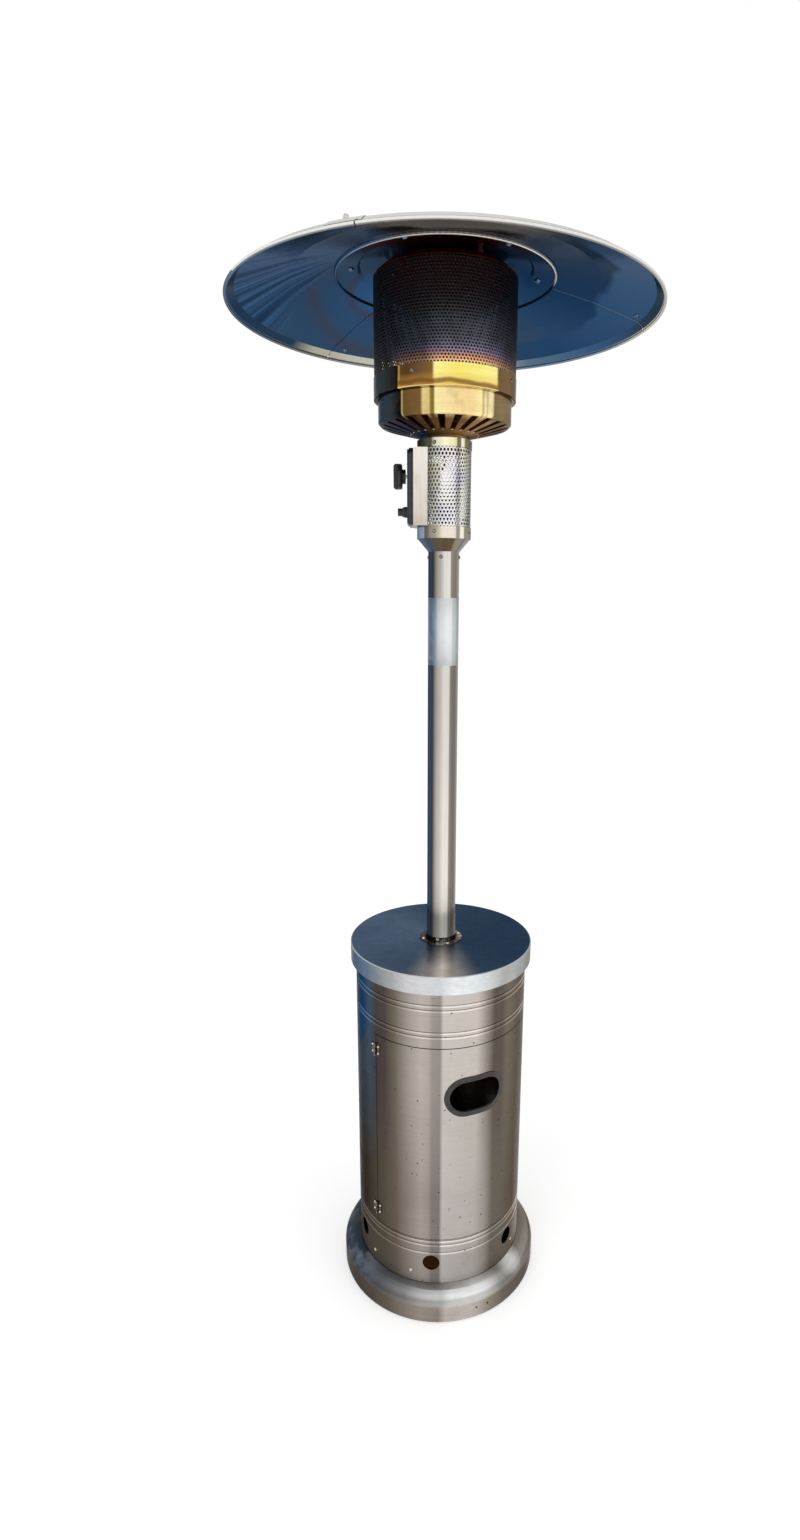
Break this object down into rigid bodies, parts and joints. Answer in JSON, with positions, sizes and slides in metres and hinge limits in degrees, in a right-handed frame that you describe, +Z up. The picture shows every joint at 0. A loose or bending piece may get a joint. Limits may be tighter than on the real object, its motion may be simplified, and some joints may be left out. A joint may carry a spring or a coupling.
{
  "type": "propane patio heater",
  "caption": "Free-standing gas patio heater: round drum with a hinged tank door, slim post, valve housing with knob and igniter, round burner and a wide domed reflector.",
  "frame": {"origin": "centre of the base at the ground, under the post's axis", "axes": "+Z up along the post, -Y towards the front, -X towards the side with the knob"},
  "size_m": [0.8129, 0.8128, 2.188],
  "materials": {
    "base_steel": "satin stainless steel, grey-brown skirt",
    "dark_steel": "black coated steel",
    "black_rubber": "moulded rubber",
    "zinc_steel": "zinc-plated sheet steel",
    "fastener_steel": "bright fasteners",
    "drum_steel": "warm grey stainless, brushed around, small rust specks",
    "lid_steel": "smooth stainless lid with a bright rim",
    "post_steel": "polished stainless tube",
    "brass": "machined brass",
    "copper_tube": "drawn copper tube",
    "charcoal_plastic": "moulded charcoal plastic",
    "black_plastic": "moulded black plastic",
    "white_plastic": "moulded catch body",
    "straw_steel": "polished stainless, straw heat tint",
    "guard_steel": "perforated stainless with a faint heat tint",
    "box_steel": "folded stainless sheet",
    "heat_gold_steel": "stainless steel heat-tinted gold",
    "burnt_steel": "oxidised perforated steel",
    "cap_steel": "dark red-brown oxidised steel",
    "white_ceramic": "glazed ceramic insulator",
    "reflector_steel": "bright-annealed mirror steel"
  },
  "bodies": {
    "root": {"base_cover": "base_steel", "base_ballast": "dark_steel", "rubber_feet": "black_rubber", "support_legs": "zinc_steel", "leg_bolts": "fastener_steel", "top_plate": "zinc_steel", "post_socket": "zinc_steel", "drum_shell": "drum_steel", "drum_screws": "fastener_steel", "door_frame": "zinc_steel", "hinge_fixed_leaves": "fastener_steel", "hinge_pins": "fastener_steel", "hinge_drum_rivets": "fastener_steel", "magnet_catch": "white_plastic", "lid": "lid_steel", "post_collar": "post_steel", "collar_screws": "fastener_steel", "post": "post_steel", "inlet_fitting": "brass", "supply_tube": "copper_tube", "post_reducer": "post_steel", "housing_bands": "straw_steel", "housing_guard": "guard_steel", "housing_screws": "fastener_steel", "control_box": "box_steel", "face_plate": "black_plastic", "control_valve": "brass", "igniter_body": "black_plastic", "igniter_nut": "zinc_steel", "tilt_switch": "black_plastic", "outlet_tube": "copper_tube", "orifice": "brass", "burner_pan": "heat_gold_steel", "mixer_tube": "dark_steel", "burner_deck": "burnt_steel", "burner_bowl": "burnt_steel", "pilot_burner": "brass", "thermocouple": "fastener_steel", "spark_electrode": "white_ceramic", "burner_band": "heat_gold_steel", "band_screws": "fastener_steel", "emitter_screen": "burnt_steel", "emitter_cap": "cap_steel", "standoff_studs": "fastener_steel", "wing_nuts": "fastener_steel", "reflector_disc": "reflector_steel", "reflector_panel_1": "reflector_steel", "reflector_panel_2": "reflector_steel", "reflector_panel_3": "reflector_steel", "reflector_bolts": "fastener_steel", "acorn_nuts": "fastener_steel"},
    "door": {"door_panel": "drum_steel", "hand_hole_trim": "charcoal_plastic", "hinge_door_leaves": "fastener_steel", "hinge_door_rivets": "fastener_steel", "catch_strike": "zinc_steel"},
    "valve_plug": {"valve_plug": "brass"},
    "knob": {"valve_stem": "fastener_steel", "knob": "black_plastic"},
    "igniter_button": {"igniter_button": "black_plastic"}
  },
  "joints": [
    {"name": "door_hinge", "type": "hinge", "parent": "root", "child": "door", "pos_m": [-0.14081, -0.13316, 0.4], "axis": [0, 0, -1], "range_deg": [0, 120]},
    {"name": "knob_turn", "type": "hinge", "parent": "root", "child": "valve_plug", "pos_m": [-0.05, 0, 1.79703], "axis": [-1, 0, 0], "range_deg": [0, 180]},
    {"name": "knob_push", "type": "slide", "parent": "valve_plug", "child": "knob", "axis": [1, 0, 0], "range_m": [0, 0.004], "stiffness_N_per_m": 1500, "springref_m": -0.002},
    {"name": "igniter_push", "type": "slide", "parent": "root", "child": "igniter_button", "axis": [1, 0, 0], "range_m": [0, 0.005], "stiffness_N_per_m": 2000, "springref_m": -0.002}
  ]
}
